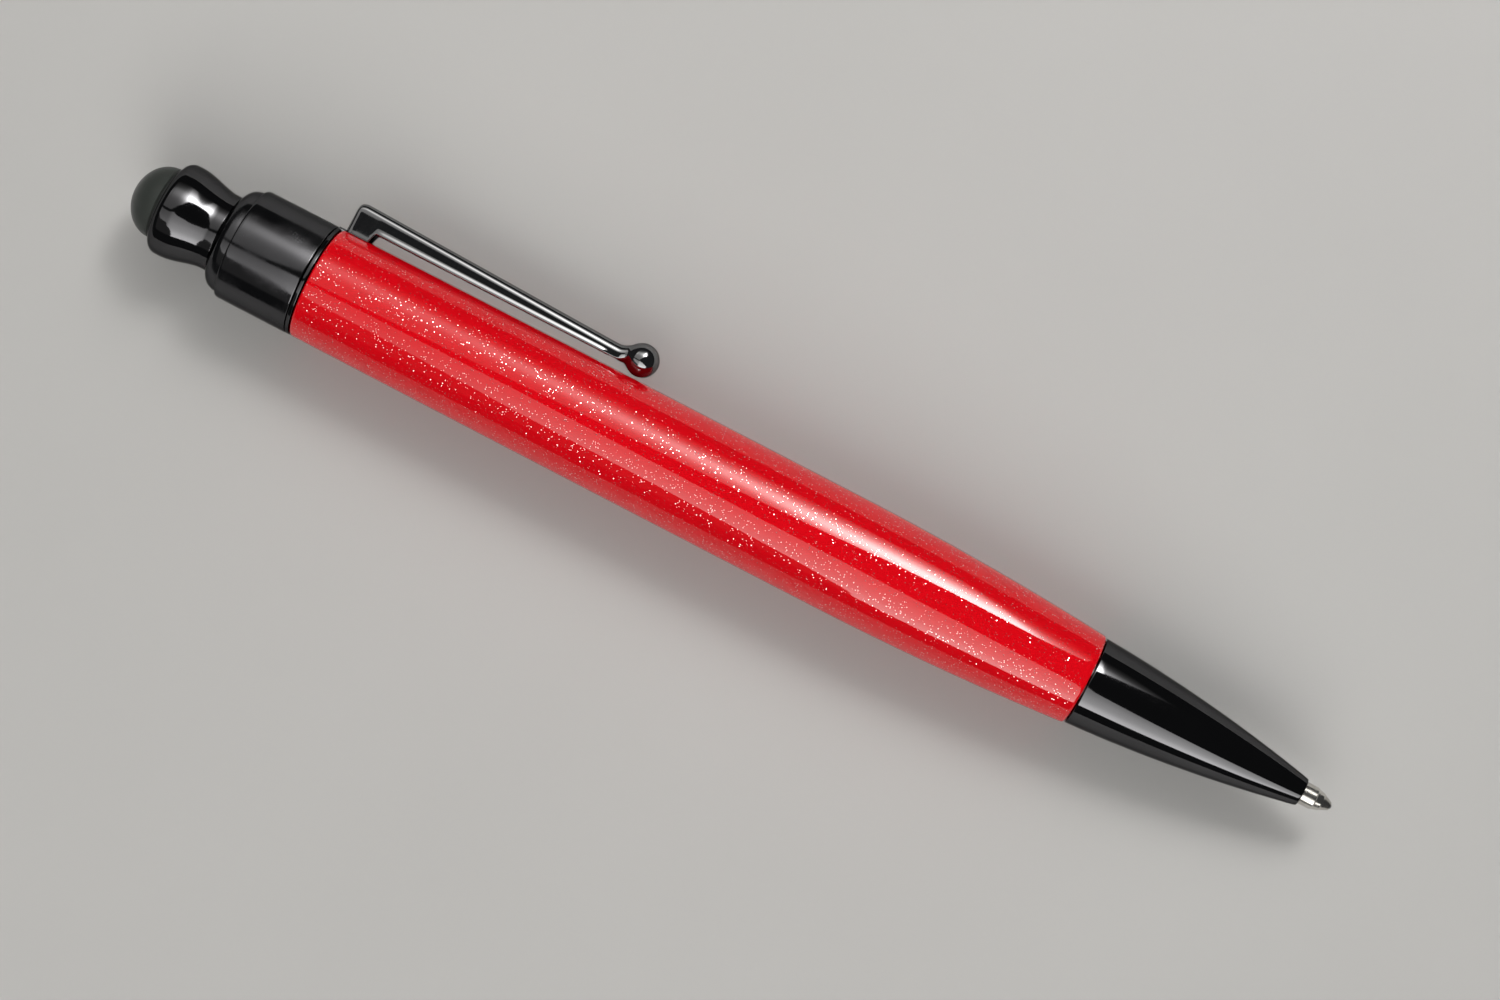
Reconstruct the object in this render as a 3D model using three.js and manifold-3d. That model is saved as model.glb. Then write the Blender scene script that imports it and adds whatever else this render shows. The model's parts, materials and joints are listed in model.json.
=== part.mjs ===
// A twist-action rollerball pen with a rubber touch stylus on its rear end, lying on a
// table with its writing tip out. Millimetres, +Z up. +X points to the writing tip and the
// clip is on the +Y side, nearly level. The origin is the centre of the bottom of the pen's
// bounding box.
//
// Every turned piece is described by a profile of [s, r] points: s is the distance from
// the rear end of the stylus along the pen's axis, and r is the radius.

import * as THREE from 'three';
import { mergeVertices } from 'three/addons/utils/BufferGeometryUtils.js';
import Module from 'manifold-3d';

const wasm = await Module();
wasm.setup();

// Driving dimensions.

const GAP = 0.1;                       // running clearance and seam width
const OUTER_SIDES = 36;                // facets round the outside pieces
const INNER_SIDES = 20;                // facets round the hidden pieces
const FINE_SIDES = 12;                 // facets round the smallest pieces

const PEN_LENGTH = 129.9;

const DOME_R = 3.64;                   // rubber stylus tip
const SKIRT_R = 3.4;
const SKIRT_END = 6.5;

const FINIAL_START = 3.25;             // trumpet-shaped holder of the stylus tip
const FINIAL_R = 4.76;
const WAIST_R = 3.96;
const FINIAL_END = 9.75;
const STUD_R = 2.35;
const STUD_END = 13.2;

const COLLAR_START = FINIAL_END + GAP; // twist collar
const COLLAR_R = 5.73;
const COLLAR_BEAD_R = 5.31;
const COLLAR_BEAD_END = 11.3;
const COLLAR_BORE_R = 4.3;
const COLLAR_END = 19.15;

const FLANGE_START = 18.35;            // flange of the fixed mechanism body
const FLANGE_END = 19.15;
const FLANGE_R = 4.9;

const BARREL_START = 19.7;             // glitter barrel
const BARREL_END = 103.1;
const BARREL_REAR_R = 5.74;
const BARREL_R = 5.83;
const BARREL_FLAT = [68, 76];          // the widest stretch is a true cylinder
const TAPER_CURVE = 315;               // radius of curvature along the front taper
const BARREL_BORE_R = 4.0;

const SLEEVE_R = 3.95;                 // brass liner and threaded bushings in the barrel
const LINER_BORE_R = 3.45;

const CAM_BORE_R = 2.45;               // rotating cam sleeve
const CAM_R = 2.95;
const CAM_START = 13.5;
const CAM_END = 25.5;
const STROKE = 5.6;                    // refill travel for half a turn of the collar
const CAM_TURN = Math.PI;
const PIN_R = 0.5;                     // cross pin that follows the cam
const PIN_S = 23.5;                    // its place with the tip out
const PIN_REACH = 3.4;

const REFILL_START = 31.9;             // metal capless-rollerball refill, 98 mm long
const REFILL_R = 2.95;
const REFILL_BORE_R = 2.7;
const NECK_R = 1.45;
const TIP_R = 1.16;
const WICK_R = 0.5;
const BALL_R = 0.35;
const BALL_S = PEN_LENGTH - BALL_R;

const NOSE_START = BARREL_END + GAP;   // nose cone
const NOSE_END = 126.7;
const NOSE_R = 4.54;
const NOSE_SLOPE = 0.0533;
const NOSE_BOW = 0.00338;
const SPIGOT_START = 96.5;
const SPIGOT_R = 3.55;
const SPIGOT_BORE_R = 3.15;
const SPRING_POCKET_R = 2.25;
const SPRING_SEAT = 118.6;
const NOSE_BORE_R = 1.25;

const CLIP_TURN = THREE.MathUtils.degToRad(-0.5);  // clip plane, below horizontal on +Y
const CLIP_START = 19.95;
const CLIP_END = 48.9;
const CLIP_FOOT = 6.68;
const CLIP_SHEET = 0.42;
const CLIP_BALL_S = 51.0;
const CLIP_BALL_R = 1.69;
const CLIP_BALL_HEIGHT = 7.74;

// Materials, one look for each kind of surface.

const look = (color, roughness, metalness) => () =>
  new THREE.MeshStandardMaterial({ color, roughness, metalness });

const blackLacquer = look(0x0b0b0d, 0.12, 0.6);
const blackCoating = look(0x101012, 0.25, 0.7);
const glitterRed = look(0xc8001c, 0.2, 0.1);
const blackRubber = look(0x1a1f1d, 0.85, 0.0);
const brass = look(0xb08d4a, 0.35, 0.9);
const steel = look(0xc4c6c8, 0.25, 1.0);
const springSteel = look(0x9a9da0, 0.35, 1.0);
const whitePlastic = look(0xd8d8d4, 0.5, 0.0);
const blackPlastic = look(0x232323, 0.5, 0.0);
const inkFibre = look(0x14161c, 0.9, 0.0);
const carbide = look(0x8d9092, 0.15, 1.0);

// Shape helpers.

// Points on a round corner or bead, from one angle to another, in degrees.
function arc(s, r, radius, from, to, steps) {
  const points = [];
  for (let i = 0; i <= steps; i += 1) {
    const angle = THREE.MathUtils.degToRad(from + (to - from) * i / steps);
    points.push([s + radius * Math.cos(angle), r + radius * Math.sin(angle)]);
  }
  return points;
}

// Evenly spaced points of a formula r(s).
function along(from, to, steps, radiusAt) {
  const points = [];
  for (let i = 0; i <= steps; i += 1) {
    const s = from + (to - from) * i / steps;
    points.push([s, radiusAt(s)]);
  }
  return points;
}

// A turned piece. The profile runs forward along the outside and back along the inside.
// It starts and ends on the axis, or else it is closed on itself here.
function turned(profile, sides) {
  const points = profile.map(([s, r]) => new THREE.Vector2(r, s));
  if (profile[0][1] > 0) points.push(points[0].clone());
  const geometry = new THREE.LatheGeometry(points, sides, Math.PI / sides);
  return geometry.rotateZ(-Math.PI / 2);
}

const ring = (from, to, outer, inner, sides = INNER_SIDES) =>
  turned([[from, outer], [to, outer], [to, inner], [from, inner]], sides);

const rod = (from, to, radius, sides = INNER_SIDES) =>
  turned([[from, 0], [from, radius], [to, radius], [to, 0]], sides);

function solid(geometry) {
  const bare = new THREE.BufferGeometry();
  bare.setAttribute('position', geometry.getAttribute('position').clone());
  if (geometry.index) bare.setIndex(geometry.index.clone());
  const merged = mergeVertices(bare, 1e-5);
  const index = merged.index.array;
  const triangles = [];
  for (let i = 0; i < index.length; i += 3) {
    const [a, b, c] = [index[i], index[i + 1], index[i + 2]];
    if (a !== b && b !== c && c !== a) triangles.push(a, b, c);
  }
  return new wasm.Manifold(new wasm.Mesh({
    numProp: 3,
    vertProperties: new Float32Array(merged.getAttribute('position').array),
    triVerts: new Uint32Array(triangles),
  }));
}

function geometryOf(manifold) {
  const mesh = manifold.getMesh();
  const geometry = new THREE.BufferGeometry();
  geometry.setAttribute('position', new THREE.BufferAttribute(mesh.vertProperties, 3));
  geometry.setIndex(new THREE.BufferAttribute(mesh.triVerts, 1));
  geometry.computeVertexNormals();
  return geometry;
}

function cut(geometry, ...cutters) {
  const rest = cutters.reduce((left, cutter) => left.subtract(solid(cutter)), solid(geometry));
  return geometryOf(rest);
}

function join(...geometries) {
  return geometryOf(geometries.map(solid).reduce((whole, next) => whole.add(next)));
}

function box(xRange, yRange, zRange) {
  const size = [xRange, yRange, zRange].map(([low, high]) => high - low);
  const middle = [xRange, yRange, zRange].map(([low, high]) => (high + low) / 2);
  return new THREE.BoxGeometry(...size).translate(...middle);
}

// A closed skin through cross-sections that all have the same number of points. Each
// section runs anticlockwise as seen from the last section looking back to the first.
function loft(sections) {
  const count = sections[0].length;
  const position = sections.flat(2);
  const index = [];
  for (let i = 0; i + 1 < sections.length; i += 1) {
    for (let j = 0; j < count; j += 1) {
      const a = i * count + j;
      const b = i * count + (j + 1) % count;
      index.push(a, b, a + count, b, b + count, a + count);
    }
  }
  const last = (sections.length - 1) * count;
  for (let j = 1; j + 1 < count; j += 1) {
    index.push(0, j + 1, j);
    index.push(last, last + j, last + j + 1);
  }
  const geometry = new THREE.BufferGeometry();
  geometry.setAttribute('position', new THREE.Float32BufferAttribute(position, 3));
  geometry.setIndex(index);
  geometry.computeVertexNormals();
  return geometry;
}

// The pen's parts are added to a group that is moved to the origin at the end.

const pen = new THREE.Group();
const clipPlane = new THREE.Group();
clipPlane.rotation.x = CLIP_TURN;
pen.add(clipPlane);

function piece(name, geometry, material, parent = pen) {
  const mesh = new THREE.Mesh(geometry, material());
  mesh.name = name;
  parent.add(mesh);
}

// Stylus end.

function stylusTip() {
  const wall = 0.8;
  const domeLength = 3.05;
  const dome = (radius, s, steps) => {
    const points = [];
    for (let i = 0; i <= steps; i += 1) {
      const angle = Math.PI / 2 * i / steps;
      const back = Math.cos(angle) * (domeLength - s);
      points.push([domeLength - back, Math.sin(angle) * radius]);
    }
    return points;
  };
  return turned([
    ...dome(DOME_R, 0, 7),
    [domeLength + GAP, SKIRT_R],
    [SKIRT_END, SKIRT_R],
    [SKIRT_END, SKIRT_R - wall],
    ...dome(SKIRT_R - wall, wall, 5).reverse(),
  ], OUTER_SIDES);
}

function stylusCore() {
  const radius = 2.5;
  const start = 1.1;
  const round = 2.0;
  return turned([
    ...along(start, start + round, 4, (s) =>
      radius * Math.sqrt(1 - ((start + round - s) / round) ** 2)),
    [SKIRT_END, radius],
    [SKIRT_END, 0],
  ], INNER_SIDES);
}

function finial() {
  const lip = 1.02;
  const flareEnd = 8.9;
  const widest = 4.8;
  const flare = (s) =>
    WAIST_R + (FINIAL_R - WAIST_R) * Math.cos((s - widest) / (flareEnd - widest) * Math.PI / 2) ** 1.6;
  return turned([
    [FINIAL_START, SKIRT_R + GAP],
    ...arc(widest - 0.35, FINIAL_R - lip, lip, 180, 90, 4),
    ...along(widest, flareEnd, 7, flare),
    [FINIAL_END, WAIST_R],
    [FINIAL_END, STUD_R],
    [STUD_END, STUD_R],
    [STUD_END, 0],
    [SKIRT_END + GAP, 0],
    [SKIRT_END + GAP, SKIRT_R + GAP],
  ], OUTER_SIDES);
}

function twistCollar() {
  const rearBoreR = STUD_R + GAP;
  const beadWidth = COLLAR_BEAD_END - COLLAR_START;
  const bead = (s) => {
    const out = (s - COLLAR_START) / beadWidth;
    return WAIST_R + (COLLAR_BEAD_R - WAIST_R) * Math.sqrt(1 - (1 - out) ** 2);
  };
  const shoulder = 0.38;
  const edge = 0.15;
  return turned([
    [COLLAR_START, rearBoreR],
    ...along(COLLAR_START, COLLAR_BEAD_END, 6, bead),
    [COLLAR_BEAD_END + 0.25, COLLAR_BEAD_R],
    ...arc(COLLAR_BEAD_END + 0.25 + shoulder, COLLAR_R - shoulder, shoulder, 180, 90, 3),
    ...arc(COLLAR_END - edge, COLLAR_R - edge, edge, 90, 0, 1),
    [COLLAR_END, FLANGE_R + 0.15],
    [FLANGE_START - GAP, FLANGE_R + 0.15],
    [FLANGE_START - GAP, COLLAR_BORE_R],
    [11.5, COLLAR_BORE_R],
    [11.5, rearBoreR],
  ], OUTER_SIDES);
}

function knobBushing() {
  const outer = COLLAR_BORE_R - 0.05;
  return turned([
    [11.6, outer],
    [15.3, outer],
    [15.3, CAM_R + 0.05],
    [CAM_START - GAP, CAM_R + 0.05],
    [CAM_START - GAP, STUD_R + GAP],
    [11.6, STUD_R + GAP],
  ], INNER_SIDES);
}

// Twist mechanism.

// The space that one helical slot takes: it starts where the cross pin stands with the
// tip out, at the given angle round the axis, and runs back by the stroke in half a turn.
function helicalSlot(startAngle) {
  const halfWidth = 0.75;
  const overrun = 0.27;
  const steps = 16;
  const [inner, outer] = [CAM_BORE_R - 0.3, CAM_R + 0.3];
  const sections = [];
  for (let i = 0; i <= steps; i += 1) {
    const turn = -overrun + (CAM_TURN + 2 * overrun) * i / steps;
    const s = PIN_S - STROKE * turn / CAM_TURN;
    const angle = startAngle + turn;
    const corners = [
      [s + halfWidth, inner], [s + halfWidth, outer], [s - halfWidth, outer], [s - halfWidth, inner],
    ];
    sections.push(corners.map(([x, r]) => [x, r * Math.cos(angle), r * Math.sin(angle)]));
  }
  return loft(sections);
}

function camSleeve() {
  return cut(ring(CAM_START, CAM_END, CAM_R, CAM_BORE_R), helicalSlot(0), helicalSlot(Math.PI));
}

function mechanismBody() {
  const [start, end] = [15.5, 24.85];
  const outer = SLEEVE_R - 0.5;
  const bore = CAM_R + GAP;
  const slotHalfWidth = PIN_R + GAP;
  const shell = turned([
    [start, outer],
    [FLANGE_START, outer],
    [FLANGE_START, FLANGE_R],
    [FLANGE_END, FLANGE_R],
    [FLANGE_END, outer],
    [end, outer],
    [end, bore],
    [start, bore],
  ], INNER_SIDES);
  const reach = PIN_REACH + 0.2;
  const guideSlots = box(
    [PIN_S - STROKE - slotHalfWidth, PIN_S + slotHalfWidth],
    [-reach, reach],
    [-slotHalfWidth, slotHalfWidth],
  );
  return cut(shell, guideSlots);
}

function frictionRing() {
  const wire = 0.34;
  const middle = (SLEEVE_R - 0.5 + COLLAR_BORE_R) / 2;
  const section = arc(16.8, middle, wire, 180, -180 + 45, 7);
  return turned(section, INNER_SIDES);
}

const pinRod = (radius, reach) => new THREE.CylinderGeometry(radius, radius, 2 * reach, 16)
  .translate(PIN_S, 0, 0);

function pusher() {
  const radius = CAM_BORE_R - GAP;
  const chamfer = 0.4;
  const body = turned([
    [22, 0],
    [22, radius - chamfer],
    [22 + chamfer, radius],
    [REFILL_START - GAP, radius],
    [REFILL_START - GAP, 0],
  ], INNER_SIDES);
  return cut(body, pinRod(PIN_R + GAP, PIN_REACH));
}

// Barrel.

function barrelRadius(s) {
  if (s < BARREL_FLAT[0]) {
    const back = (BARREL_FLAT[0] - s) / (BARREL_FLAT[0] - BARREL_START);
    return BARREL_R - (BARREL_R - BARREL_REAR_R) * back ** 2;
  }
  return BARREL_R - (s - BARREL_FLAT[1]) ** 2 / (2 * TAPER_CURVE);
}

function barrelSleeve() {
  const edge = 0.35;
  const frontR = barrelRadius(BARREL_END);
  return turned([
    ...arc(BARREL_START + edge, BARREL_REAR_R - edge, edge, 180, 90, 2),
    [BARREL_START + 18, barrelRadius(BARREL_START + 18)],
    [BARREL_START + 35, barrelRadius(BARREL_START + 35)],
    [BARREL_FLAT[0], BARREL_R],
    ...along(BARREL_FLAT[1], BARREL_END - 1, 6, barrelRadius),
    ...arc(BARREL_END - edge, frontR - edge, edge, 90, 0, 2),
    [BARREL_END, BARREL_BORE_R],
    [BARREL_START, BARREL_BORE_R],
  ], OUTER_SIDES);
}

// Clip, drawn with the clip standing up along +Y.

const clipTop = (s) => THREE.MathUtils.mapLinear(s, CLIP_START, CLIP_END, 8.95, 8.15);
const clipHalfWidth = (s) => THREE.MathUtils.mapLinear(s, CLIP_START, CLIP_END, 1.6, 1.0);

// The washer that is gripped behind the barrel, with a strap that runs under the arm's leg.
function clipRing() {
  const [start, end] = [19.25, 19.6];
  const strapTop = 6.45;
  const strapWidth = [-1.3, 1.3];
  const washer = ring(start, end, BARREL_REAR_R, SLEEVE_R - 0.35, OUTER_SIDES);
  const bend = box([start, end], [BARREL_REAR_R - 0.6, strapTop], strapWidth);
  const strap = box([start, CLIP_START + 0.8], [strapTop - CLIP_SHEET, strapTop], strapWidth);
  return join(washer, bend, strap);
}

// The arm is a pressed channel, open towards the barrel, with a closed leg at the rear.
// Its inner walls lean apart towards the opening, and the leg's inner wall leans back.
function clipArm() {
  const chamfer = 0.35;
  const outside = (s) => {
    const [foot, top, half] = [CLIP_FOOT, clipTop(s), clipHalfWidth(s)];
    return [
      [s, foot, half], [s, foot, -half], [s, top - chamfer, -half],
      [s, top, -half + chamfer], [s, top, half - chamfer], [s, top - chamfer, half],
    ];
  };
  const draft = 0.06;
  const inside = (s, lean) => {
    const half = clipHalfWidth(s) - CLIP_SHEET;
    const mouth = half + draft;
    const top = clipTop(s) - CLIP_SHEET;
    return [[s + lean, 5, mouth], [s + lean, 5, -mouth], [s, top, -half], [s, top, half]];
  };
  return cut(
    loft([outside(CLIP_START), outside(CLIP_END)]),
    loft([inside(CLIP_START + 1, -0.3), inside(CLIP_END - 0.8, draft)]),
  );
}

function clipBall() {
  const collarR = 0.95;
  const start = CLIP_END + 0.1;
  const meet = THREE.MathUtils.radToDeg(Math.asin(collarR / CLIP_BALL_R));
  return turned([
    [start, 0],
    [start, collarR],
    ...arc(CLIP_BALL_S, 0, CLIP_BALL_R, 180 - meet, 0, 9).slice(0, -1),
    [CLIP_BALL_S + CLIP_BALL_R, 0],
  ], FINE_SIDES).translate(0, CLIP_BALL_HEIGHT, 0);
}

// Nose cone with its threaded spigot, the return spring and the refill.

function noseRadius(s) {
  const t = s - NOSE_START;
  return NOSE_R - NOSE_SLOPE * t - NOSE_BOW * t * t;
}

function noseCone() {
  const boreEnd = 108.6;
  const edge = 0.15;
  return turned([
    [SPIGOT_START, SPIGOT_R],
    [NOSE_START, SPIGOT_R],
    [NOSE_START, NOSE_R - edge],
    [NOSE_START + edge, noseRadius(NOSE_START + edge)],
    ...along(NOSE_START + 3, NOSE_END - edge / 2, 8, noseRadius),
    [NOSE_END, noseRadius(NOSE_END) - edge / 2],
    [NOSE_END, NOSE_BORE_R],
    [SPRING_SEAT, NOSE_BORE_R],
    [SPRING_SEAT, SPRING_POCKET_R],
    [boreEnd, SPRING_POCKET_R],
    [boreEnd, SPIGOT_BORE_R],
    [SPIGOT_START, SPIGOT_BORE_R],
  ], OUTER_SIDES);
}

// A helix between the refill's shoulder and the nose's seat, as a six-sided wire.
class SpringCurve extends THREE.Curve {
  constructor(start, end, radius, turns) {
    super();
    Object.assign(this, { start, end, radius, turns });
  }

  getPoint(t, target = new THREE.Vector3()) {
    const angle = 2 * Math.PI * this.turns * t;
    const s = this.start + (this.end - this.start) * t;
    return target.set(s, this.radius * Math.cos(angle), this.radius * Math.sin(angle));
  }
}

function returnSpring() {
  const wire = 0.18;
  const turns = 6;
  const stepsPerTurn = 10;
  const section = new THREE.Shape();
  for (let i = 0; i < 6; i += 1) {
    const angle = i * Math.PI / 3;
    const point = [wire * Math.cos(angle), wire * Math.sin(angle)];
    if (i) section.lineTo(...point);
    else section.moveTo(...point);
  }
  return new THREE.ExtrudeGeometry(section, {
    steps: turns * stepsPerTurn,
    extrudePath: new SpringCurve(108.8, SPRING_SEAT - 0.35, 1.87, turns),
  });
}

const TUBE_START = 33.4;
const TUBE_END = 106.5;

function refillCrown() {
  const plugR = REFILL_BORE_R - GAP;
  return turned([
    [REFILL_START, 0],
    [REFILL_START, 2.3],
    [REFILL_START + 0.5, REFILL_R - 0.05],
    [TUBE_START - 0.05, REFILL_R - 0.05],
    [TUBE_START - 0.05, plugR],
    [TUBE_START + 3, plugR],
    [TUBE_START + 3, 0],
  ], INNER_SIDES);
}

function refillNeck() {
  const plugR = REFILL_BORE_R - GAP;
  const boreR = WICK_R + GAP;
  const socketR = TIP_R + 0.05;
  return turned([
    [103.5, plugR],
    [TUBE_END + 0.05, plugR],
    [TUBE_END + 0.05, REFILL_R],
    [107.9, REFILL_R],
    [108.3, REFILL_R - 0.4],
    [108.3, NECK_R],
    [118.2, NECK_R],
    [118.2, socketR],
    [115.9, socketR],
    [115.9, boreR],
    [103.5, boreR],
  ], INNER_SIDES);
}

// The tip's shell, drawn in to a socket that holds the ball by its lip.
function refillTip() {
  const boreR = WICK_R + GAP;
  const socketR = 0.38;
  const lipR = 0.42;
  return turned([
    [116, TIP_R],
    [128.05, TIP_R],
    [128.15, 1.06],
    [128.75, 0.92],
    [128.9, 0.82],
    [BALL_S + 0.17, lipR],
    ...arc(BALL_S, 0, socketR, 63, 150, 4),
    [127.6, 0.19],
    [127.0, boreR],
    [116, boreR],
  ], FINE_SIDES);
}

function writingBall() {
  return turned(
    [[BALL_S - BALL_R, 0], ...arc(BALL_S, 0, BALL_R, 180, 0, 8).slice(1, -1), [BALL_S + BALL_R, 0]],
    12,
  );
}

// Assembly, from the stylus to the writing tip.

piece('stylus_tip', stylusTip(), blackRubber);
piece('stylus_core', stylusCore(), blackPlastic);
piece('finial', finial(), blackLacquer);
piece('twist_collar', twistCollar(), blackLacquer);
piece('knob_bushing', knobBushing(), blackPlastic);
piece('cam_sleeve', camSleeve(), steel);
piece('snap_ring', ring(24.95, 25.3, PIN_REACH, CAM_R + 0.03), springSteel);

piece('mechanism_body', mechanismBody(), brass);
piece('friction_ring', frictionRing(), blackRubber);
piece('rear_bushing', ring(BARREL_START + 0.05, 27, SLEEVE_R, SPIGOT_R), brass);
piece('liner_tube', ring(27.1, 95.4, SLEEVE_R, LINER_BORE_R), brass);
piece('front_bushing', ring(95.5, BARREL_END - 0.1, SLEEVE_R, SPIGOT_R + GAP), brass);
piece('barrel_sleeve', barrelSleeve(), glitterRed);

piece('clip_ring', clipRing(), blackCoating, clipPlane);
piece('clip_arm', clipArm(), blackCoating, clipPlane);
piece('clip_ball', clipBall(), blackCoating, clipPlane);

piece('pusher', pusher(), whitePlastic);
piece('cam_pin', pinRod(PIN_R, PIN_REACH), steel);
piece('refill_crown', refillCrown(), whitePlastic);
piece('refill_tube', ring(TUBE_START, TUBE_END, REFILL_R, REFILL_BORE_R), steel);
piece('ink_reservoir', rod(TUBE_START + 3.5, 102.9, REFILL_BORE_R - 0.15), inkFibre);
piece('feed_wick', rod(103.0, 126.4, WICK_R, FINE_SIDES), inkFibre);
piece('refill_neck', refillNeck(), whitePlastic);
piece('refill_tip', refillTip(), steel);
piece('writing_ball', writingBall(), carbide);

piece('return_spring', returnSpring(), springSteel);
piece('nose_cone', noseCone(), blackLacquer);

// The origin is the centre of the bottom of the bounding box.

const group = new THREE.Group();
group.add(pen);
const bounds = new THREE.Box3().setFromObject(group, true);
const centre = bounds.getCenter(new THREE.Vector3());
pen.position.set(-centre.x, -centre.y, -bounds.min.z);

export default group;
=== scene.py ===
"""Looks of a twist-action rollerball pen with a touch stylus, lying on a pale floor.

Turned pieces are drawn as profiles of (s, r) points in millimetres: s is the distance from
the rear end of the stylus along the pen's axis, and r is the radius.
"""

import json
import math

import bmesh
import bpy
from mathutils import Matrix, Vector


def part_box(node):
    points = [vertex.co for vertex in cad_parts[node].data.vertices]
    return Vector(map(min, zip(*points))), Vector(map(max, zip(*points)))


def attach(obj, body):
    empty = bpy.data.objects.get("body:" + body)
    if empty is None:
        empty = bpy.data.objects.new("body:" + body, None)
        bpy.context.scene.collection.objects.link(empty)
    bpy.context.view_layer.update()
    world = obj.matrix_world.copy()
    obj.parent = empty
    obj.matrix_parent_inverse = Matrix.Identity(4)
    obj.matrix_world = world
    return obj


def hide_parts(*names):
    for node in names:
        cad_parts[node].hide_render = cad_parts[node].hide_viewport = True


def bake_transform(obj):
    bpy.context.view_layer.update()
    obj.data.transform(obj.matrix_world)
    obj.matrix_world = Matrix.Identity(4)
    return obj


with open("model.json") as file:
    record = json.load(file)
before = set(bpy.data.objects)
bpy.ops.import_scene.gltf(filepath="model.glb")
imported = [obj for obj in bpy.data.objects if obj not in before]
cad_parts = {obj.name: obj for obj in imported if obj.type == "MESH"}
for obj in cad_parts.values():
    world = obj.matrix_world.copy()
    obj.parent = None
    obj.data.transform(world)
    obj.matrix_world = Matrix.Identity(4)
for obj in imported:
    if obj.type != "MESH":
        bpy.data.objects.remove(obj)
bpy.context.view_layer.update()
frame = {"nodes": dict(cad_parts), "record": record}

MM = 0.001
BARREL_LOW, BARREL_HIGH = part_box("barrel_sleeve")
# The rear end of the stylus, on the pen's axis.
REAR = Vector((
    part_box("stylus_tip")[0].x,
    (BARREL_LOW.y + BARREL_HIGH.y) / 2,
    (BARREL_LOW.z + BARREL_HIGH.z) / 2,
))
CLIP_TURN = math.radians(-0.5)         # clip plane, below horizontal on +Y
SIDES = 144                            # segments round the outside pieces
FINE_SIDES = 72                        # segments round the writing tip

FINIAL_START, FINIAL_WIDEST, FLARE_END, FINIAL_END = 3.25, 4.8, 8.9, 9.75
FINIAL_R, FINIAL_RIM_R, WAIST_R = 4.76, 3.74, 3.96
STUD_R, STUD_END, STYLUS_POCKET_END = 2.35, 13.2, 6.6
COLLAR_START, COLLAR_END, COLLAR_R = 9.85, 19.15, 5.73
BEAD_END, BEAD_R = 11.3, 5.31
STUD_BORE_R, COLLAR_FLOOR, COLLAR_BORE_R = 2.45, 11.5, 4.3
FLANGE_SEAT, FLANGE_BORE_R = 18.25, 5.05
BARREL_START, BARREL_END = 19.7, 103.1
BARREL_REAR_R, BARREL_R, BARREL_BORE_R = 5.74, 5.83, 4.0
FLAT_START, FLAT_END, TAPER_CURVE = 68, 76, 315
NOSE_START, NOSE_END = 103.2, 126.7
NOSE_R, NOSE_SLOPE, NOSE_BOW, NOSE_BORE_R = 4.54, 0.0533, 0.00338, 1.25
SPRING_POCKET_START, SPRING_SEAT, SPRING_POCKET_R = 108.6, 118.6, 2.25
SPIGOT_START, SPIGOT_R, SPIGOT_BORE_R = 96.5, 3.55, 3.15
THREAD_PITCH, THREAD_DEPTH = 0.75, 0.32
THREAD_SPAN = (97.2, 102.5)

TANG_START, TANG_BEND, LEG_START, LEG_END, CLIP_END = 19.3, 19.62, 20.1, 22.3, 48.9
CLIP_BALL_S, CLIP_BALL_R, CLIP_BALL_HEIGHT = 51.0, 1.69, 7.74


# Shape helpers.


def mix(a, b, t):
    return a + (b - a) * t


def smooth(low, high, value):
    """0 before low, 1 after high and an S-shaped rise between them."""
    t = min(max((value - low) / (high - low), 0), 1)
    return t * t * (3 - 2 * t)


def along(start, end, steps, radius_at):
    """Evenly spaced points of a formula r(s)."""
    stations = [mix(start, end, i / steps) for i in range(steps + 1)]
    return [(s, radius_at(s)) for s in stations]


def softened(profile, steps=5):
    """The profile with a soft corner at each point that has a third value, its size."""
    points = []
    for i, (s, r, *size) in enumerate(profile):
        here = Vector((s, r))
        if not size:
            points.append(here)
            continue
        arms = [Vector(profile[j][:2]) - here for j in (i - 1, (i + 1) % len(profile))]
        start, end = [here + arm.normalized() * min(size[0], arm.length / 2) for arm in arms]
        for k in range(steps + 1):
            t = k / steps
            points.append(start * (1 - t) ** 2 + here * (2 * t * (1 - t)) + end * t * t)
    return points


def pen_point(s, y, z):
    return REAR + Vector((s, y, z)) * MM


def skin(shape, rings):
    """Faces between neighbouring rings. A ring of one vertex is a point on the axis."""
    for a, b in zip(rings, rings[1:]):
        count = max(len(a), len(b))
        if count == 1:
            continue
        for k in range(count):
            n = (k + 1) % count
            corners = [a[k % len(a)], b[k % len(b)], b[n % len(b)], a[n % len(a)]]
            shape.faces.new(dict.fromkeys(corners))


def piece(name, shape, paint, body, replaced, sharp=32):
    """Turns a shape into a shown piece that rides on a body, or is left without one."""
    bmesh.ops.recalc_face_normals(shape, faces=shape.faces)
    mesh = bpy.data.meshes.new(name)
    shape.to_mesh(mesh)
    shape.free()
    mesh.polygons.foreach_set("use_smooth", [True] * len(mesh.polygons))
    mesh.set_sharp_from_angle(angle=math.radians(sharp))
    mesh.materials.append(paint)
    made = bpy.data.objects.new(name, mesh)
    bpy.context.scene.collection.objects.link(made)
    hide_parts(*replaced)
    if body:
        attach(made, body)
    return made


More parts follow.
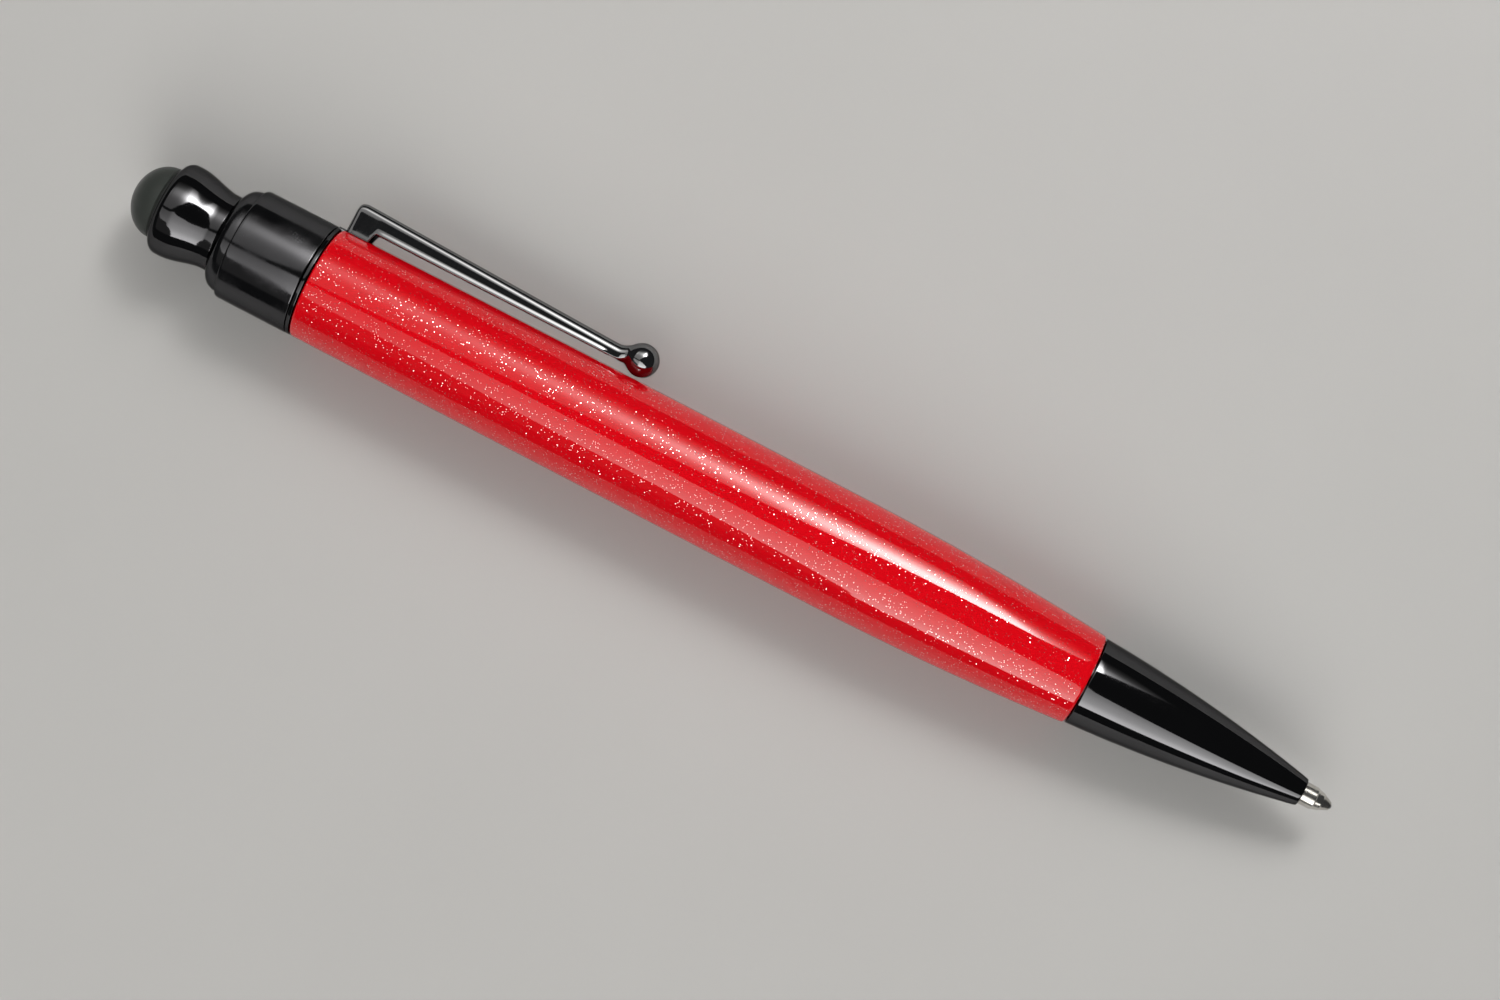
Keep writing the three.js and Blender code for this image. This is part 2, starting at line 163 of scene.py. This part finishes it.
def turned(name, profile, paint, body, replaced, sides=SIDES, relief=None):
    """A piece turned about the pen's axis, from a profile that is closed or ends on the axis."""
    shape = bmesh.new()
    rings = []
    for s, r in softened(profile):
        if r < 1e-6:
            rings.append([shape.verts.new(pen_point(s, 0, 0))])
            continue
        ring = []
        for k in range(sides):
            angle = 2 * math.pi * k / sides
            radius = r - (relief(s, r, angle) if relief else 0)
            place = pen_point(s, radius * math.cos(angle), radius * math.sin(angle))
            ring.append(shape.verts.new(place))
        rings.append(ring)
    if profile[0][1] > 0:
        rings.append(rings[0])
    skin(shape, rings)
    return piece(name, shape, paint, body, replaced)


# Materials.


class Paint:
    """A material built from short calls. Sizes are in millimetres."""

    def __init__(self, name, **values):
        self.material = bpy.data.materials.new(name)
        self.material.use_nodes = True
        self.tree = self.material.node_tree
        self.shader = self.tree.nodes["Principled BSDF"]
        self.place = self.add("ShaderNodeTexCoord").outputs["Object"]
        self.feed(self.shader, {key.replace("_", " "): value for key, value in values.items()})

    def feed(self, node, inputs):
        for key, value in inputs.items():
            if isinstance(value, bpy.types.NodeSocket):
                self.tree.links.new(value, node.inputs[key])
            else:
                node.inputs[key].default_value = value

    def add(self, kind, inputs=None, **settings):
        node = self.tree.nodes.new(kind)
        for key, value in settings.items():
            setattr(node, key, value)
        self.feed(node, inputs or {})
        return node

    def scaled(self, size, stretch=(1, 1, 1)):
        scale = [1 / (size * MM * way) for way in stretch]
        return self.add("ShaderNodeMapping", {"Vector": self.place, "Scale": scale}).outputs[0]

    def noise(self, size, stretch=(1, 1, 1), detail=3.0, rough=0.5):
        inputs = {"Vector": self.scaled(size, stretch), "Scale": 1.0, "Detail": detail, "Roughness": rough}
        return self.add("ShaderNodeTexNoise", inputs).outputs[0]

    def span(self, value, low, high, to_low=0.0, to_high=1.0):
        inputs = {"Value": value, "From Min": low, "From Max": high, "To Min": to_low, "To Max": to_high}
        return self.add("ShaderNodeMapRange", inputs).outputs[0]

    def math(self, operation, a, b):
        return self.add("ShaderNodeMath", {0: a, 1: b}, operation=operation).outputs[0]

    def vector(self, operation, a, b):
        return self.add("ShaderNodeVectorMath", {0: a, 1: b}, operation=operation).outputs[0]

    def blend(self, factor, a, b):
        first, second = [(*tone, 1) if isinstance(tone, tuple) else tone for tone in (a, b)]
        inputs = {"Factor": factor, 6: first, 7: second}
        return self.add("ShaderNodeMix", inputs, data_type="RGBA").outputs[2]

    def bump(self, height, depth, strength=1.0):
        inputs = {"Height": height, "Distance": depth * MM, "Strength": strength}
        self.feed(self.shader, {"Normal": self.add("ShaderNodeBump", inputs).outputs[0]})

    def set(self, **values):
        self.feed(self.shader, {key.replace("_", " "): value for key, value in values.items()})
        return self.material


def mirror_black(name, tone, smooth_rough, hazy_rough, smudge=6.0):
    """Black plating: a dark metal with faint polishing marks and finger smudges."""
    paint = Paint(name, Metallic=1.0, Specular_Tint=(0.45, 0.45, 0.45, 1))
    marks = paint.noise(0.05, (1, 40, 40), detail=2.0)
    smudges = paint.noise(smudge, (1.6, 1, 1), detail=5.0, rough=0.6)
    haze = paint.span(smudges, 0.42, 0.7, smooth_rough, hazy_rough)
    lines = paint.span(marks, 0.35, 0.75, -0.02, 0.03)
    paint.bump(marks, 0.0006)
    dark = tuple(value * 0.7 for value in tone)
    return paint.set(Base_Color=paint.blend(smudges, tone, dark), Roughness=paint.math("ADD", haze, lines))


FLAKE_CELL, FLAKE_TILT = 0.2, 0.34     # flake spacing in millimetres, and lean
FLAKE_REACH = (0.09, 0.25)             # flake radius, as a share of its cell
EMPTY_SHARE = 0.36                     # share of the cells that hold no flake


def glitter_lacquer():
    """Red lacquer over silver flakes that lie at their own small angles under a clear coat."""
    paint = Paint("glitter_red", Coat_Weight=1.0, Coat_Roughness=0.03, Coat_IOR=1.5)
    paint.set(Specular_IOR_Level=0.0)
    inputs = {"Vector": paint.scaled(FLAKE_CELL), "Scale": 1.0, "Randomness": 1.0}
    cells = paint.add("ShaderNodeTexVoronoi", inputs, voronoi_dimensions="3D")
    chance = paint.add("ShaderNodeSeparateColor", {0: cells.outputs["Color"]})
    present = paint.math("GREATER_THAN", chance.outputs[0], EMPTY_SHARE)
    reach = paint.span(chance.outputs[1], 0.0, 1.0, *FLAKE_REACH)
    inside = paint.math("LESS_THAN", cells.outputs["Distance"], reach)
    flake = paint.math("MULTIPLY", present, inside)
    tilt = paint.vector("SUBTRACT", cells.outputs["Color"], (0.5, 0.5, 0.5))
    tilt = paint.vector("MULTIPLY", tilt, (FLAKE_TILT, FLAKE_TILT, FLAKE_TILT))
    normal = paint.add("ShaderNodeNewGeometry").outputs["Normal"]
    leaning = {0: paint.vector("ADD", normal, tilt)}
    tilted = paint.add("ShaderNodeVectorMath", leaning, operation="NORMALIZE").outputs[0]
    choice = {"Factor": flake, 4: normal, 5: tilted}
    facing = paint.add("ShaderNodeMix", choice, data_type="VECTOR").outputs[1]
    depth = paint.noise(1.4, detail=4.0)
    red = paint.blend(depth, (0.62, 0.001, 0.005), (0.72, 0.0015, 0.008))
    silver = paint.blend(chance.outputs[2], (0.95, 0.5, 0.5), (0.97, 0.85, 0.85))
    return paint.set(
        Base_Color=paint.blend(flake, red, silver),
        Metallic=paint.math("MULTIPLY", flake, 0.9),
        Roughness=paint.span(flake, 0.0, 1.0, 0.5, 0.12),
        Normal=facing,
    )


def rubber():
    """Matte conductive rubber, slightly polished by use on the crown, with a few dust specks."""
    paint = Paint("rubber_black", Sheen_Weight=0.25, Sheen_Roughness=0.4, IOR=1.45)
    grain = paint.noise(0.09, detail=4.0)
    patches = paint.noise(1.6, detail=3.0)
    specks = paint.span(paint.noise(0.16, detail=1.0), 0.74, 0.8)
    body = paint.blend(patches, (0.014, 0.018, 0.015), (0.023, 0.028, 0.024))
    paint.bump(grain, 0.012)
    return paint.set(
        Base_Color=paint.blend(specks, body, (0.12, 0.12, 0.11)),
        Roughness=paint.span(patches, 0.3, 0.7, 0.55, 0.75),
    )


def metal(name, tone, worn, rough, mark=0.04, depth=0.0015):
    """Turned metal: fine rings from the lathe and slow patches of tarnish."""
    paint = Paint(name, Metallic=1.0)
    rings = paint.noise(mark, (1, 60, 60), detail=2.0)
    patches = paint.noise(1.8, detail=4.0)
    paint.bump(rings, depth)
    haze = paint.span(patches, 0.3, 0.7, rough, rough + 0.12)
    lines = paint.span(rings, 0.3, 0.7, -0.03, 0.03)
    return paint.set(
        Base_Color=paint.blend(paint.span(patches, 0.35, 0.75), tone, worn),
        Roughness=paint.math("ADD", haze, lines),
    )


def plastic(name, tone, shade, rough):
    """Moulded plastic with a fine eroded finish and slight flow marks."""
    paint = Paint(name, IOR=1.48)
    grain = paint.noise(0.12, detail=4.0)
    flow = paint.noise(2.5, (3, 1, 1), detail=2.0)
    paint.bump(grain, 0.004)
    return paint.set(
        Base_Color=paint.blend(flow, tone, shade),
        Roughness=paint.span(flow, 0.3, 0.7, rough, rough + 0.15),
    )


def fibre():
    """Ink-soaked bundled fibres that run along the pen."""
    paint = Paint("ink_fibre", Sheen_Weight=0.4)
    strands = paint.noise(0.08, (60, 1, 1), detail=3.0)
    paint.bump(strands, 0.05)
    return paint.set(
        Base_Color=paint.blend(strands, (0.004, 0.005, 0.012), (0.02, 0.022, 0.045)),
        Roughness=paint.span(strands, 0.3, 0.7, 0.7, 0.95),
    )


LOOKS = {
    "rubber_black": rubber(),
    "lacquer_black": mirror_black("lacquer_black", (0.09, 0.09, 0.094), 0.035, 0.1),
    "clip_black": mirror_black("clip_black", (0.26, 0.26, 0.265), 0.05, 0.1),
    "glitter_red": glitter_lacquer(),
    "brass": metal("brass", (0.72, 0.5, 0.2), (0.42, 0.26, 0.1), 0.25),
    "steel": metal("steel", (0.66, 0.64, 0.6), (0.42, 0.4, 0.37), 0.16),
    "spring_steel": metal("spring_steel", (0.5, 0.5, 0.5), (0.3, 0.29, 0.28), 0.28),
    "plastic_white": plastic("plastic_white", (0.78, 0.78, 0.75), (0.68, 0.68, 0.64), 0.35),
    "plastic_black": plastic("plastic_black", (0.02, 0.02, 0.021), (0.035, 0.035, 0.036), 0.4),
    "ink_fibre": fibre(),
    "carbide": metal("carbide", (0.36, 0.36, 0.37), (0.25, 0.25, 0.26), 0.12, 0.02, 0.0004),
}
COLLAR_LOOK = mirror_black("collar_black", (0.095, 0.095, 0.1), 0.1, 0.3, 3.0)

for row in frame["record"]["subparts"]:
    slots = frame["nodes"][row["node"]].data.materials
    slots.clear()
    slots.append(LOOKS[row["material_slot"]])


# Knob: stylus tip, finial and twist collar.

DOME_R, DOME_LENGTH, SKIRT_R, SKIRT_END, RUBBER_WALL = 3.64, 3.05, 3.4, 6.5, 0.8


def dome(radius, start, steps):
    angles = [math.pi / 2 * i / steps for i in range(steps + 1)]
    return [(DOME_LENGTH - math.cos(a) * (DOME_LENGTH - start), math.sin(a) * radius) for a in angles]


turned(
    "Stylus_Tip",
    [
        *dome(DOME_R, 0, 22),
        (DOME_LENGTH + 0.12, SKIRT_R, 0.05),
        (SKIRT_END, SKIRT_R),
        (SKIRT_END, SKIRT_R - RUBBER_WALL),
        *dome(SKIRT_R - RUBBER_WALL, RUBBER_WALL, 10)[::-1],
    ],
    LOOKS["rubber_black"], "knob", ["stylus_tip"],
)


def flare(s):
    fall = math.cos((s - FINIAL_WIDEST) / (FLARE_END - FINIAL_WIDEST) * math.pi / 2)
    return WAIST_R + (FINIAL_R - WAIST_R) * max(fall, 0) ** 1.6


LIP_R = 1.02
turned(
    "Finial",
    [
        (FINIAL_START + 0.2, SKIRT_R + 0.1, 0.1),
        (FINIAL_START, FINIAL_RIM_R, 0.08),
        *[
            (FINIAL_WIDEST - 0.35 - LIP_R * math.cos(a), FINIAL_R - LIP_R + LIP_R * math.sin(a))
            for a in (math.pi / 2 * i / 10 for i in range(1, 11))
        ],
        *along(FINIAL_WIDEST, FLARE_END, 20, flare),
        (FINIAL_END, WAIST_R, 0.06),
        (FINIAL_END, STUD_R),
        (STUD_END, STUD_R),
        (STUD_END, 0),
        (STYLUS_POCKET_END, 0),
        (STYLUS_POCKET_END, SKIRT_R + 0.1),
    ],
    LOOKS["lacquer_black"], "knob", ["finial"],
)


def bead(s):
    out = (s - COLLAR_START) / (BEAD_END - COLLAR_START)
    return WAIST_R + (BEAD_R - WAIST_R) * math.sqrt(1 - (1 - out) ** 2)


bead_width = BEAD_END - COLLAR_START
bead_stations = [COLLAR_START + bead_width * (1 - math.cos(math.pi / 2 * i / 12)) for i in range(13)]
turned(
    "Twist_Collar",
    [
        (COLLAR_START, STUD_BORE_R),
        *[(s, bead(s)) for s in bead_stations],
        (BEAD_END + 0.25, BEAD_R),
        (BEAD_END + 0.25, COLLAR_R, 0.38),
        (COLLAR_END, COLLAR_R, 0.15),
        (COLLAR_END, FLANGE_BORE_R),
        (FLANGE_SEAT, FLANGE_BORE_R),
        (FLANGE_SEAT, COLLAR_BORE_R),
        (COLLAR_FLOOR, COLLAR_BORE_R),
        (COLLAR_FLOOR, STUD_BORE_R),
    ],
    COLLAR_LOOK, "knob", ["twist_collar"],
)


# Barrel and nose cone.


def barrel_radius(s):
    if s < FLAT_START:
        back = (FLAT_START - s) / (FLAT_START - BARREL_START)
        return BARREL_R - (BARREL_R - BARREL_REAR_R) * back ** 2
    return BARREL_R - max(s - FLAT_END, 0) ** 2 / (2 * TAPER_CURVE)


turned(
    "Barrel",
    [
        (BARREL_START, BARREL_BORE_R, 0.1),
        (BARREL_START, BARREL_REAR_R, 0.35),
        *along(BARREL_START + 1, BARREL_END - 1, 40, barrel_radius),
        (BARREL_END, barrel_radius(BARREL_END), 0.35),
        (BARREL_END, BARREL_BORE_R, 0.1),
    ],
    LOOKS["glitter_red"], "barrel", ["barrel_sleeve"],
)


def nose_radius(s):
    t = s - NOSE_START
    return NOSE_R - NOSE_SLOPE * t - NOSE_BOW * t * t


def thread(s, r, angle):
    """Depth of a right-hand thread on the spigot, fading out at both ends."""
    if abs(r - SPIGOT_R) > 0.01:
        return 0
    turns = (s - THREAD_SPAN[0]) / THREAD_PITCH - angle / (2 * math.pi)
    ridge = abs(2 * (turns % 1) - 1)
    start = smooth(THREAD_SPAN[0] - 0.3, THREAD_SPAN[0] + 0.2, s)
    end = smooth(THREAD_SPAN[1] - 0.3, THREAD_SPAN[1] + 0.1, s)
    return THREAD_DEPTH * min(max(1.3 * ridge - 0.15, 0), 1) * (start - end)


turned(
    "Nose_Cone",
    [
        (SPIGOT_START, SPIGOT_BORE_R),
        (SPIGOT_START, 3.45),
        *along(SPIGOT_START + 0.12, NOSE_START - 0.05, 100, lambda s: SPIGOT_R),
        (NOSE_START, SPIGOT_R),
        (NOSE_START, NOSE_R, 0.15),
        *along(NOSE_START + 1, NOSE_END - 0.3, 30, nose_radius),
        (NOSE_END, nose_radius(NOSE_END), 0.1),
        (NOSE_END, NOSE_BORE_R, 0.05),
        (SPRING_SEAT, NOSE_BORE_R),
        (SPRING_SEAT, SPRING_POCKET_R),
        (SPRING_POCKET_START, SPRING_POCKET_R),
        (SPRING_POCKET_START, SPIGOT_BORE_R),
    ],
    LOOKS["lacquer_black"], "nose", ["nose_cone"], relief=thread,
)

turned(
    "Writing_Tip",
    [
        (116, 0.6),
        (116, 1.16),
        (128.05, 1.16, 0.04),
        (128.15, 1.06, 0.03),
        (128.75, 0.92, 0.03),
        (128.9, 0.82, 0.04),
        (129.72, 0.42, 0.03),
        (129.6, 0.375),
        (129.3, 0.3),
        (129.0, 0.2),
        (127.6, 0.19),
        (127.0, 0.6),
    ],
    LOOKS["steel"], "refill", ["refill_tip"], sides=FINE_SIDES,
)
BALL_S, BALL_R, BALL_STEPS = 129.55, 0.35, 20
ball_angles = [math.pi * i / BALL_STEPS for i in range(1, BALL_STEPS)]
turned(
    "Writing_Ball",
    [
        (BALL_S - BALL_R, 0),
        *[(BALL_S - BALL_R * math.cos(a), BALL_R * math.sin(a)) for a in ball_angles],
        (BALL_S + BALL_R, 0),
    ],
    LOOKS["carbide"], "ball", ["writing_ball"], sides=FINE_SIDES,
)


# Clip: a pressed channel that is open towards the barrel, with a leg at the rear, a tang that
# runs back from the leg to the ring, and a ball end. Its outline at each station is given as
# (u, w): u out from the pen's axis and w across.

SHEET = 0.42
CHANNEL = (21.0, 47.9)                 # stretch that is open towards the barrel
BALL_MELT = (48.3, 49.7)               # stretch where the channel turns into the neck
NECK_R, MELD = 0.98, 6                 # neck of the ball, and how sharply the two meet
FOOT, FOOT_EDGE, FOOT_FLANGE = 6.68, 0.12, 0.09
TANG_FOOT, TANG_TOP, TANG_HALF = 5.3, 5.8, 1.2
CLIP_TOP = (8.95, 8.15)                # out from the axis, at the rear and at the front
CLIP_HALF = (1.6, 1.0)                 # half width, likewise
REAR_BEND, BEND_DROP, REAR_EDGE = 0.95, 0.6, 0.4
LEG_FOOT, LEG_STEP = 5.57, 0.5
SADDLE_R = 5.8
FLANK_LEAN = math.tan(math.radians(3.5))  # how much the flanks close in towards their feet


def clip_size(s):
    """Top, foot and half width of the clip at a station."""
    if s < LEG_START:
        return TANG_TOP, TANG_FOOT, TANG_HALF
    way = (s - LEG_START) / (CLIP_END - LEG_START)
    top, half = mix(*CLIP_TOP, way), mix(*CLIP_HALF, way)
    back = s - LEG_START
    if back < REAR_BEND:
        top -= BEND_DROP * (1 - math.sqrt(1 - (1 - back / REAR_BEND) ** 2))
    if back < REAR_EDGE:
        half -= REAR_EDGE * (1 - math.sqrt(1 - (1 - back / REAR_EDGE) ** 2))
    return top, mix(LEG_FOOT, FOOT, smooth(LEG_END, LEG_END + LEG_STEP, s)), half


def clip_outline(s):
    """The clip's closed outline at a station, as (u, w) points."""
    top, foot, half = clip_size(s)
    corner = mix(0.7, 0.92, (s - LEG_START) / (CLIP_END - LEG_START))
    corner = min(corner, half * 0.92, (top - foot) * 0.6)
    rim = min(0.5, (top - corner - foot) * 0.9)
    flange = smooth(LEG_END + 0.3, LEG_END + 1.2, s) - smooth(CHANNEL[1] - 0.8, CHANNEL[1], s)
    flange *= FOOT_FLANGE
    lean = (top - corner - foot - rim) * FLANK_LEAN
    inner, ceiling = half - lean - SHEET, top - SHEET
    outline = [(top, (half - corner) * k / 5) for k in range(5)]
    for k in range(13):
        a = math.pi / 2 * k / 12
        outline.append((top - corner + corner * math.cos(a), half - corner + corner * math.sin(a)))
    for k in range(1, 7):
        outline.append((mix(top - corner, foot + rim, k / 6), half - lean * k / 6))
    half -= lean
    for k in range(1, 6):
        outline.append((mix(foot + rim, foot + FOOT_EDGE, k / 5), half + flange * smooth(0, 5, k)))
    for k in range(1, 5):
        a = math.pi / 2 * k / 4
        u = foot + FOOT_EDGE * (1 - math.sin(a))
        outline.append((u, half + flange - FOOT_EDGE * (1 - math.cos(a))))
    if CHANNEL[0] <= s <= CHANNEL[1]:
        outline += [
            (foot, inner + 0.1), (foot + 0.08, inner), (mix(foot, ceiling, 0.5), inner),
            (ceiling - 0.15, inner), (ceiling, inner - 0.15), (ceiling, inner / 2), (ceiling, 0),
        ]
    else:
        for k in range(7):
            w = (inner + 0.1) * (1 - k / 6)
            saddle = math.sqrt(SADDLE_R ** 2 - w * w) if TANG_BEND < s < LEG_END else foot
            outline.append((max(foot, saddle), w))
    melt = smooth(*BALL_MELT, s)
    middle = (top + foot) / 2
    centre = mix(middle, CLIP_BALL_HEIGHT, smooth(BALL_MELT[0], BALL_MELT[1] + 0.2, s))
    ball = math.sqrt(max(CLIP_BALL_R ** 2 - (s - CLIP_BALL_S) ** 2, 0))
    neck = NECK_R * (1 - smooth(BALL_MELT[1], CLIP_BALL_S, s))
    radius = (ball ** MELD + neck ** MELD) ** (1 / MELD)
    melted = []
    for u, w in outline:
        angle = math.atan2(w, u - middle)
        round_u, round_w = centre + radius * math.cos(angle), radius * math.sin(angle)
        melted.append((mix(u, round_u, melt), mix(w, round_w, melt)))
    return melted + [(u, -w) for u, w in melted[-2:0:-1]]


def clip_point(s, u, w):
    """A point of the clip, turned about the axis into the clip's own plane."""
    c, d = math.cos(CLIP_TURN), math.sin(CLIP_TURN)
    return pen_point(s, u * c - w * d, u * d + w * c)


def clip():
    tang = [TANG_START, TANG_BEND - 0.001, TANG_BEND + 0.03, LEG_START - 0.02]
    bend = [LEG_START + REAR_BEND * (1 - math.cos(math.pi / 2 * i / 12)) for i in range(1, 12)]
    leg = [LEG_START, CHANNEL[0] - 0.02, CHANNEL[0], 21.6, LEG_END - 0.001]
    step = [LEG_END + LEG_STEP * i / 8 for i in range(9)]
    arm = [23.1, 23.5, 25, 28, 31, 36, 41, 45, 46.5, 47.1, 47.4, CHANNEL[1], CHANNEL[1] + 0.02, 48.1]
    melt = [mix(*BALL_MELT, i / 12) for i in range(13)]
    start = math.asin((BALL_MELT[1] - CLIP_BALL_S) / CLIP_BALL_R)
    ball_angles = [mix(start, math.pi / 2, i / 22) for i in range(1, 22)]
    ball = [CLIP_BALL_S + CLIP_BALL_R * math.sin(a) for a in ball_angles]
    stations = sorted([*tang, *bend, *leg, *step, *arm, *melt, *ball])
    shape = bmesh.new()
    rings = [[shape.verts.new(clip_point(s, u, w)) for u, w in clip_outline(s)] for s in stations]
    shape.faces.new(rings[0])
    rings.append([shape.verts.new(clip_point(CLIP_BALL_S + CLIP_BALL_R, CLIP_BALL_HEIGHT, 0))])
    skin(shape, rings)
    replaced = ["clip_arm", "clip_ball"]
    made = piece("Clip", shape, LOOKS["clip_black"], None, replaced, sharp=40)
    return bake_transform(made)


clip()

RING_START, RING_END, RING_R, RING_BORE_R = 19.25, 19.6, 5.72, 3.6
turned(
    "Clip_Ring",
    [
        (RING_START, RING_BORE_R),
        (RING_START, RING_R, 0.06),
        (RING_END, RING_R, 0.06),
        (RING_END, RING_BORE_R),
    ],
    LOOKS["lacquer_black"], "barrel", ["clip_ring"],
)


# Floor, softboxes and camera.


def flat(name, corners, height, material):
    """A level sheet with the given corners, in millimetres from the middle of the pen's axis."""
    mesh = bpy.data.meshes.new(name)
    places = [(x * MM, REAR.y + y * MM, height * MM) for x, y in corners]
    mesh.from_pydata(places, [], [range(len(places))])
    mesh.materials.append(material)
    made = bpy.data.objects.new(name, mesh)
    bpy.context.scene.collection.objects.link(made)
    return made


class Glow:
    """An emitting material whose strength can follow curves along X and Y, in millimetres."""

    def __init__(self, name):
        self.material = bpy.data.materials.new(name)
        self.material.use_nodes = True
        self.tree = self.material.node_tree
        self.tree.nodes.clear()
        self.light = self.tree.nodes.new("ShaderNodeEmission")
        self.light.inputs["Color"].default_value = (1.0, 0.985, 0.96, 1)
        out = self.tree.nodes.new("ShaderNodeOutputMaterial")
        self.tree.links.new(self.light.outputs[0], out.inputs[0])
        place = self.tree.nodes.new("ShaderNodeTexCoord").outputs["Object"]
        self.parts = self.tree.nodes.new("ShaderNodeSeparateXYZ")
        self.tree.links.new(place, self.parts.inputs[0])

    def curve(self, axis, stops):
        """A share from 0 to 1 that passes through (place, share) stops along an axis."""
        low, high = stops[0][0], stops[-1][0]
        scale = self.tree.nodes.new("ShaderNodeMapRange")
        scale.inputs["From Min"].default_value = low * MM
        scale.inputs["From Max"].default_value = high * MM
        self.tree.links.new(self.parts.outputs[axis], scale.inputs["Value"])
        curve = self.tree.nodes.new("ShaderNodeFloatCurve")
        self.tree.links.new(scale.outputs[0], curve.inputs["Value"])
        points = curve.mapping.curves[0].points
        for place, _ in stops[1:-1]:
            points.new((place - low) / (high - low), 0.5)
        for point, (place, share) in zip(points, stops):
            point.location = ((place - low) / (high - low), share)
        curve.mapping.update()
        return curve.outputs[0]

    def combine(self, operation, a, b):
        node = self.tree.nodes.new("ShaderNodeMath")
        node.operation = operation
        for socket, value in zip(node.inputs, (a, b)):
            if isinstance(value, bpy.types.NodeSocket):
                self.tree.links.new(value, socket)
            else:
                socket.default_value = value
        return node.outputs[0]

    def shine(self, strength):
        self.tree.links.new(self.combine("MULTIPLY", strength, 1.0), self.light.inputs["Strength"])
        return self.material


LIGHT_HEIGHT = 506
FRONT_STRENGTH, WING_STRENGTH = 5.2, 0.15
BACK_EVEN_STRENGTH, BACK_HOT_STRENGTH = 0.75, 22.0


def softbox(name, corners, material):
    made = flat(name, corners, LIGHT_HEIGHT, material)
    made.visible_camera = False
    made.visible_shadow = False


# The edge that the front softbox shares with its dim wing, from left to right.
WING_EDGE = [(-700, -300), (-142, -380), (-102, -500), (-52, -530), (-2, -650), (38, -860), (45, -1072)]

front = Glow("glow_front")
front_x = front.curve(0, [(-700, 0.45), (-142, 0.5), (-102, 0.7), (-50, 0.95), (0, 1.0), (600, 1.0)])
front_y = front.curve(1, [
    (-1072, 1.0), (-770, 0.92), (-513, 0.63), (-320, 0.48), (-180, 0.34), (0, 0.24),
])
front_share = front.combine("MULTIPLY", front_x, front_y)
softbox(
    "Light_Front",
    [
        (-700, -100), (-142, -100), (-102, -80), (-77, -70), (-2, -106), (94, -120), (200, -184),
        (600, -370), (600, -1072), *WING_EDGE[::-1],
    ],
    front.shine(front.combine("MULTIPLY", front_share, FRONT_STRENGTH)),
)
softbox("Light_Front_Wing", [*WING_EDGE, (-700, -1072)], Glow("glow_wing").shine(WING_STRENGTH))

back = Glow("glow_back")
back_even = back.curve(1, [(-20, 0.8), (100, 0.8), (450, 1.0), (620, 0.35), (1072, 0.1)])
back_x = back.curve(0, [
    (-700, 0.04), (-142, 0.07), (-102, 0.11), (-20, 0.36), (-2, 0.55), (23, 0.8),
    (60, 0.95), (123, 1.0), (150, 0.5), (180, 0.1), (240, 0.02), (700, 0.0),
])
back_y = back.curve(1, [
    (-20, 0.0), (123, 0.08), (242, 0.42), (330, 0.9), (391, 1.0),
    (450, 0.85), (613, 0.36), (800, 0.12), (1072, 0.03),
])
even = back.combine("MULTIPLY", back_even, BACK_EVEN_STRENGTH)
hot = back.combine("MULTIPLY", back.combine("MULTIPLY", back_x, back_y), BACK_HOT_STRENGTH)
softbox(
    "Light_Back",
    [
        (-700, -45), (-142, -45), (-102, 9), (-65, 79), (-20, 140), (10, 215), (48, 285),
        (94, 320), (152, 345), (200, 439), (300, 660), (300, 1072), (-700, 1072),
    ],
    back.shine(back.combine("ADD", even, hot)),
)

floor_paint = Paint("floor_pale", Roughness=0.6)
floor_tone = floor_paint.noise(40, detail=3.0)
floor_paint.set(Base_Color=floor_paint.blend(floor_tone, (0.44, 0.437, 0.43), (0.47, 0.467, 0.46)))
FLOOR_HALF = 3000
floor_corners = [(x * FLOOR_HALF, y * FLOOR_HALF) for x, y in ((-1, -1), (1, -1), (1, 1), (-1, 1))]
flat("Floor", floor_corners, 0, floor_paint.material)

world = bpy.data.worlds.new("studio")
world.use_nodes = True
sky = world.node_tree.nodes["Background"]
sky.inputs["Color"].default_value = (0.9, 0.92, 0.95, 1)
sky.inputs["Strength"].default_value = 0.05
bpy.context.scene.world = world
bpy.context.scene.view_settings.view_transform = "Standard"

ROLL = math.radians(27.37)             # turn of the pen in the picture
# The camera looks straight down from EYE, with its lens shifted so that AIM is in the middle.
EYE = Vector((11.72 * MM, REAR.y - 0.01 * MM, REAR.z + 313 * MM))
AIM = Vector((1.475 * MM, REAR.y + 0.55 * MM, REAR.z))

lens = bpy.data.cameras.new("Camera")
lens.lens = 77.8
lens.sensor_width = 36
lens.clip_start = 0.01
camera = bpy.data.objects.new("Camera", lens)
bpy.context.scene.collection.objects.link(camera)
right = Vector((math.cos(ROLL), math.sin(ROLL), 0))
up = Vector((-right.y, right.x, 0))
zoom = lens.lens / lens.sensor_width / (EYE.z - AIM.z)
lens.shift_x = (AIM - EYE).dot(right) * zoom
lens.shift_y = (AIM - EYE).dot(up) * zoom
camera.matrix_world = Matrix.Translation(EYE) @ Matrix.Rotation(ROLL, 4, "Z")
bpy.context.scene.camera = camera
